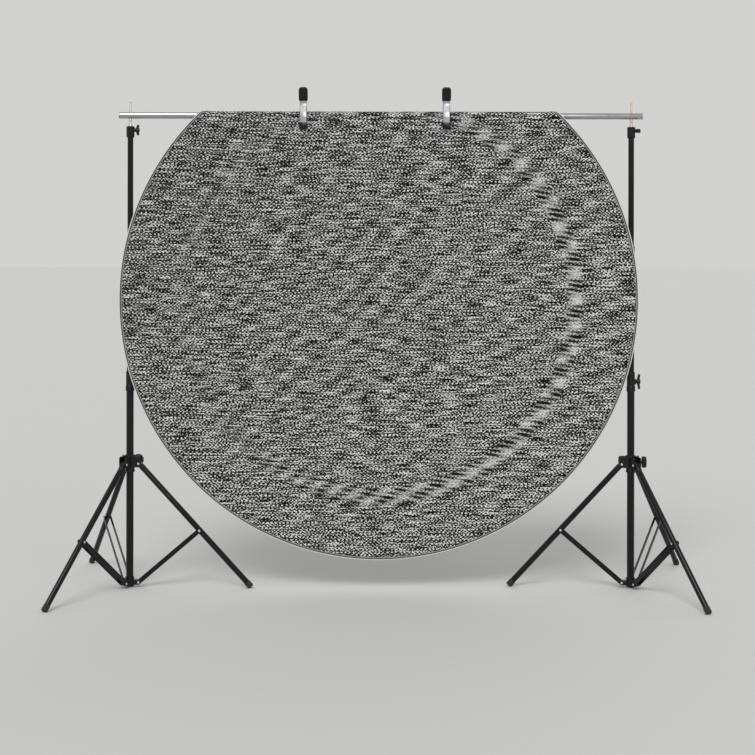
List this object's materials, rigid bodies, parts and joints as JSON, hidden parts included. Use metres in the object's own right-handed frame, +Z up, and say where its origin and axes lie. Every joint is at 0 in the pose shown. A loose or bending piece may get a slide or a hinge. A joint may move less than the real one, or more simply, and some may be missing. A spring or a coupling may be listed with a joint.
{
  "type": "collapsible backdrop panel",
  "caption": "Round collapsible cloth backdrop panel folded over a crossbar, held by spring clamps, on folding stands with telescoping columns.",
  "frame": {"origin": "on the floor, midway between the two columns", "axes": "+Z up, +X along the crossbar to the right as seen from the face of the panel, and the panel faces -Y"},
  "size_m": [2.4326, 0.8422, 1.9103],
  "materials": {
    "black_tube": "gloss black coat",
    "black_plastic": "moulded satin",
    "rubber": "matte",
    "bright_aluminium": "polished",
    "zinc_plate": "bright zinc",
    "brass": "turned",
    "spring_steel": "drawn",
    "grey_cloth": "heathered coarse weave",
    "binding_cloth": "folded tape"
  },
  "bodies": {
    "left_column": {"left_lower_tube": "black_tube", "left_foot_hub": "black_plastic", "left_lower_lock_collar": "black_plastic"},
    "left_mid": {"left_middle_tube": "black_tube", "left_middle_lock_collar": "black_plastic"},
    "left_top": {"left_upper_tube": "black_tube", "left_spigot_socket": "black_plastic", "left_spigot": "brass"},
    "crossbar": {"crossbar_left_section": "bright_aluminium", "crossbar_right_section": "bright_aluminium", "crossbar_ferrule": "spring_steel", "crossbar_left_cap": "bright_aluminium", "crossbar_right_cap": "bright_aluminium", "panel_cloth": "grey_cloth", "panel_rim_binding": "binding_cloth", "panel_spring_hoop": "spring_steel", "left_clamp_rear_arm": "zinc_plate", "left_clamp_pin": "spring_steel", "left_clamp_spring": "spring_steel", "right_clamp_rear_arm": "zinc_plate", "right_clamp_pin": "spring_steel", "right_clamp_spring": "spring_steel"},
    "right_top": {"right_upper_tube": "black_tube", "right_spigot_socket": "black_plastic", "right_spigot": "brass"},
    "right_mid": {"right_middle_tube": "black_tube", "right_middle_lock_collar": "black_plastic"},
    "right_column": {"right_lower_tube": "black_tube", "right_foot_hub": "black_plastic", "right_lower_lock_collar": "black_plastic"},
    "left_leg_carrier": {"left_leg_collar": "black_plastic"},
    "left_leg_1_body": {"left_leg_1": "black_tube", "left_foot_1": "rubber"},
    "left_brace_1_body": {"left_brace_1": "black_tube"},
    "left_leg_2_body": {"left_leg_2": "black_tube", "left_foot_2": "rubber"},
    "left_brace_2_body": {"left_brace_2": "black_tube"},
    "left_leg_3_body": {"left_leg_3": "black_tube", "left_foot_3": "rubber"},
    "left_brace_3_body": {"left_brace_3": "black_tube"},
    "left_leg_collar_knob_body": {"left_leg_collar_knob": "black_plastic"},
    "left_lower_lock_knob_body": {"left_lower_lock_knob": "black_plastic"},
    "left_middle_lock_knob_body": {"left_middle_lock_knob": "black_plastic"},
    "left_spigot_knob_body": {"left_spigot_knob": "black_plastic"},
    "left_jaw": {"left_clamp_front_arm": "zinc_plate"},
    "right_leg_carrier": {"right_leg_collar": "black_plastic"},
    "right_leg_1_body": {"right_leg_1": "black_tube", "right_foot_1": "rubber"},
    "right_brace_1_body": {"right_brace_1": "black_tube"},
    "right_leg_2_body": {"right_leg_2": "black_tube", "right_foot_2": "rubber"},
    "right_brace_2_body": {"right_brace_2": "black_tube"},
    "right_leg_3_body": {"right_leg_3": "black_tube", "right_foot_3": "rubber"},
    "right_brace_3_body": {"right_brace_3": "black_tube"},
    "right_leg_collar_knob_body": {"right_leg_collar_knob": "black_plastic"},
    "right_lower_lock_knob_body": {"right_lower_lock_knob": "black_plastic"},
    "right_middle_lock_knob_body": {"right_middle_lock_knob": "black_plastic"},
    "right_spigot_knob_body": {"right_spigot_knob": "black_plastic"},
    "right_jaw": {"right_clamp_front_arm": "zinc_plate"}
  },
  "joints": [
    {"name": "left_middle_slide", "type": "slide", "parent": "left_column", "child": "left_mid", "axis": [0, 0, 1], "range_m": [-0.05, 0.12]},
    {"name": "left_upper_slide", "type": "slide", "parent": "left_mid", "child": "left_top", "axis": [0, 0, 1], "range_m": [-0.05, 0.15]},
    {"name": "left_stud_turn", "type": "hinge", "parent": "left_top", "child": "crossbar", "pos_m": [-0.957, 0, 1.801], "axis": [0, 0, 1], "range_deg": [-30, 30]},
    {"name": "right_stud_turn", "type": "hinge", "parent": "crossbar", "child": "right_top", "pos_m": [0.957, 0, 1.801], "axis": [0, 0, 1], "range_deg": [-30, 30]},
    {"name": "right_upper_slide", "type": "slide", "parent": "right_top", "child": "right_mid", "axis": [0, 0, -1], "range_m": [-0.05, 0.15]},
    {"name": "right_middle_slide", "type": "slide", "parent": "right_mid", "child": "right_column", "axis": [0, 0, -1], "range_m": [-0.05, 0.12]},
    {"name": "left_collar_slide", "type": "slide", "parent": "left_column", "child": "left_leg_carrier", "axis": [0, 0, 1], "range_m": [0, 0.1986]},
    {"name": "left_leg_1_pivot", "type": "hinge", "parent": "left_leg_carrier", "child": "left_leg_1_body", "pos_m": [-0.92203, -0.00134, 0.4715], "axis": [0.0384, 0.9993, 0], "range_deg": [0, 42.66]},
    {"name": "left_brace_1_pivot", "type": "hinge", "parent": "left_column", "child": "left_brace_1_body", "pos_m": [-0.92203, -0.00134, 0.019], "axis": [0.0384, 0.9993, 0], "range_deg": [-49.5, 0]},
    {"name": "left_leg_2_pivot", "type": "hinge", "parent": "left_leg_carrier", "child": "left_leg_2_body", "pos_m": [-0.97332, 0.03096, 0.4715], "axis": [-0.8846, -0.4664, 0], "range_deg": [0, 42.66]},
    {"name": "left_brace_2_pivot", "type": "hinge", "parent": "left_column", "child": "left_brace_2_body", "pos_m": [-0.97332, 0.03096, 0.019], "axis": [-0.8846, -0.4664, 0], "range_deg": [-49.5, 0]},
    {"name": "left_leg_3_pivot", "type": "hinge", "parent": "left_leg_carrier", "child": "left_leg_3_body", "pos_m": [-0.97565, -0.02962, 0.4715], "axis": [0.8462, -0.5329, 0], "range_deg": [0, 42.66]},
    {"name": "left_brace_3_pivot", "type": "hinge", "parent": "left_column", "child": "left_brace_3_body", "pos_m": [-0.97565, -0.02962, 0.019], "axis": [0.8462, -0.5329, 0], "range_deg": [-49.5, 0]},
    {"name": "left_leg_collar_knob_turn", "type": "hinge", "parent": "left_leg_carrier", "child": "left_leg_collar_knob_body", "pos_m": [-0.957, 0, 0.4795], "axis": [0.5329, 0.8462, 0], "continuous": true},
    {"name": "left_lower_lock_knob_turn", "type": "hinge", "parent": "left_column", "child": "left_lower_lock_knob_body", "pos_m": [-0.957, 0, 0.78704], "axis": [0.0384, 0.9993, 0], "continuous": true},
    {"name": "left_middle_lock_knob_turn", "type": "hinge", "parent": "left_mid", "child": "left_middle_lock_knob_body", "pos_m": [-0.957, 0, 1.283], "axis": [0.0384, 0.9993, 0], "continuous": true},
    {"name": "left_spigot_knob_turn", "type": "hinge", "parent": "left_top", "child": "left_spigot_knob_body", "pos_m": [-0.957, 0, 1.745], "axis": [0.9993, -0.0384, 0], "continuous": true},
    {"name": "left_clamp_open", "type": "hinge", "parent": "crossbar", "child": "left_jaw", "pos_m": [-0.296, 0, 1.8258], "axis": [-1, 0, 0], "range_deg": [0, 20], "stiffness_Nm_per_rad": 0.6, "springref_deg": -20.05},
    {"name": "right_collar_slide", "type": "slide", "parent": "right_column", "child": "right_leg_carrier", "axis": [0, 0, 1], "range_m": [0, 0.1986]},
    {"name": "right_leg_1_pivot", "type": "hinge", "parent": "right_leg_carrier", "child": "right_leg_1_body", "pos_m": [0.92203, 0.00134, 0.4715], "axis": [-0.0384, -0.9993, 0], "range_deg": [0, 42.66]},
    {"name": "right_brace_1_pivot", "type": "hinge", "parent": "right_column", "child": "right_brace_1_body", "pos_m": [0.92203, 0.00134, 0.019], "axis": [-0.0384, -0.9993, 0], "range_deg": [-49.5, 0]},
    {"name": "right_leg_2_pivot", "type": "hinge", "parent": "right_leg_carrier", "child": "right_leg_2_body", "pos_m": [0.97332, -0.03096, 0.4715], "axis": [0.8846, 0.4664, 0], "range_deg": [0, 42.66]},
    {"name": "right_brace_2_pivot", "type": "hinge", "parent": "right_column", "child": "right_brace_2_body", "pos_m": [0.97332, -0.03096, 0.019], "axis": [0.8846, 0.4664, 0], "range_deg": [-49.5, 0]},
    {"name": "right_leg_3_pivot", "type": "hinge", "parent": "right_leg_carrier", "child": "right_leg_3_body", "pos_m": [0.97565, 0.02962, 0.4715], "axis": [-0.8462, 0.5329, 0], "range_deg": [0, 42.66]},
    {"name": "right_brace_3_pivot", "type": "hinge", "parent": "right_column", "child": "right_brace_3_body", "pos_m": [0.97565, 0.02962, 0.019], "axis": [-0.8462, 0.5329, 0], "range_deg": [-49.5, 0]},
    {"name": "right_leg_collar_knob_turn", "type": "hinge", "parent": "right_leg_carrier", "child": "right_leg_collar_knob_body", "pos_m": [0.957, 0, 0.4795], "axis": [0.9993, -0.0384, 0], "continuous": true},
    {"name": "right_lower_lock_knob_turn", "type": "hinge", "parent": "right_column", "child": "right_lower_lock_knob_body", "pos_m": [0.957, 0, 0.78704], "axis": [0.9993, -0.0384, 0], "continuous": true},
    {"name": "right_middle_lock_knob_turn", "type": "hinge", "parent": "right_mid", "child": "right_middle_lock_knob_body", "pos_m": [0.957, 0, 1.283], "axis": [0.0384, 0.9993, 0], "continuous": true},
    {"name": "right_spigot_knob_turn", "type": "hinge", "parent": "right_top", "child": "right_spigot_knob_body", "pos_m": [0.957, 0, 1.745], "axis": [0.9993, -0.0384, 0], "continuous": true},
    {"name": "right_clamp_open", "type": "hinge", "parent": "crossbar", "child": "right_jaw", "pos_m": [0.25, 0, 1.8258], "axis": [-1, 0, 0], "range_deg": [0, 20], "stiffness_Nm_per_rad": 0.6, "springref_deg": -20.05}
  ],
  "couplings": [
    {"joint": "right_upper_slide", "follows": "left_upper_slide", "ratio": 1},
    {"joint": "right_middle_slide", "follows": "left_middle_slide", "ratio": 1},
    {"joint": "left_leg_1_pivot", "follows": "left_collar_slide", "rad_per_m": 3.7478},
    {"joint": "left_brace_1_pivot", "follows": "left_collar_slide", "rad_per_m": -4.3483},
    {"joint": "left_leg_2_pivot", "follows": "left_collar_slide", "rad_per_m": 3.7478},
    {"joint": "left_brace_2_pivot", "follows": "left_collar_slide", "rad_per_m": -4.3483},
    {"joint": "left_leg_3_pivot", "follows": "left_collar_slide", "rad_per_m": 3.7478},
    {"joint": "left_brace_3_pivot", "follows": "left_collar_slide", "rad_per_m": -4.3483},
    {"joint": "right_leg_1_pivot", "follows": "right_collar_slide", "rad_per_m": 3.7478},
    {"joint": "right_brace_1_pivot", "follows": "right_collar_slide", "rad_per_m": -4.3483},
    {"joint": "right_leg_2_pivot", "follows": "right_collar_slide", "rad_per_m": 3.7478},
    {"joint": "right_brace_2_pivot", "follows": "right_collar_slide", "rad_per_m": -4.3483},
    {"joint": "right_leg_3_pivot", "follows": "right_collar_slide", "rad_per_m": 3.7478},
    {"joint": "right_brace_3_pivot", "follows": "right_collar_slide", "rad_per_m": -4.3483}
  ]
}
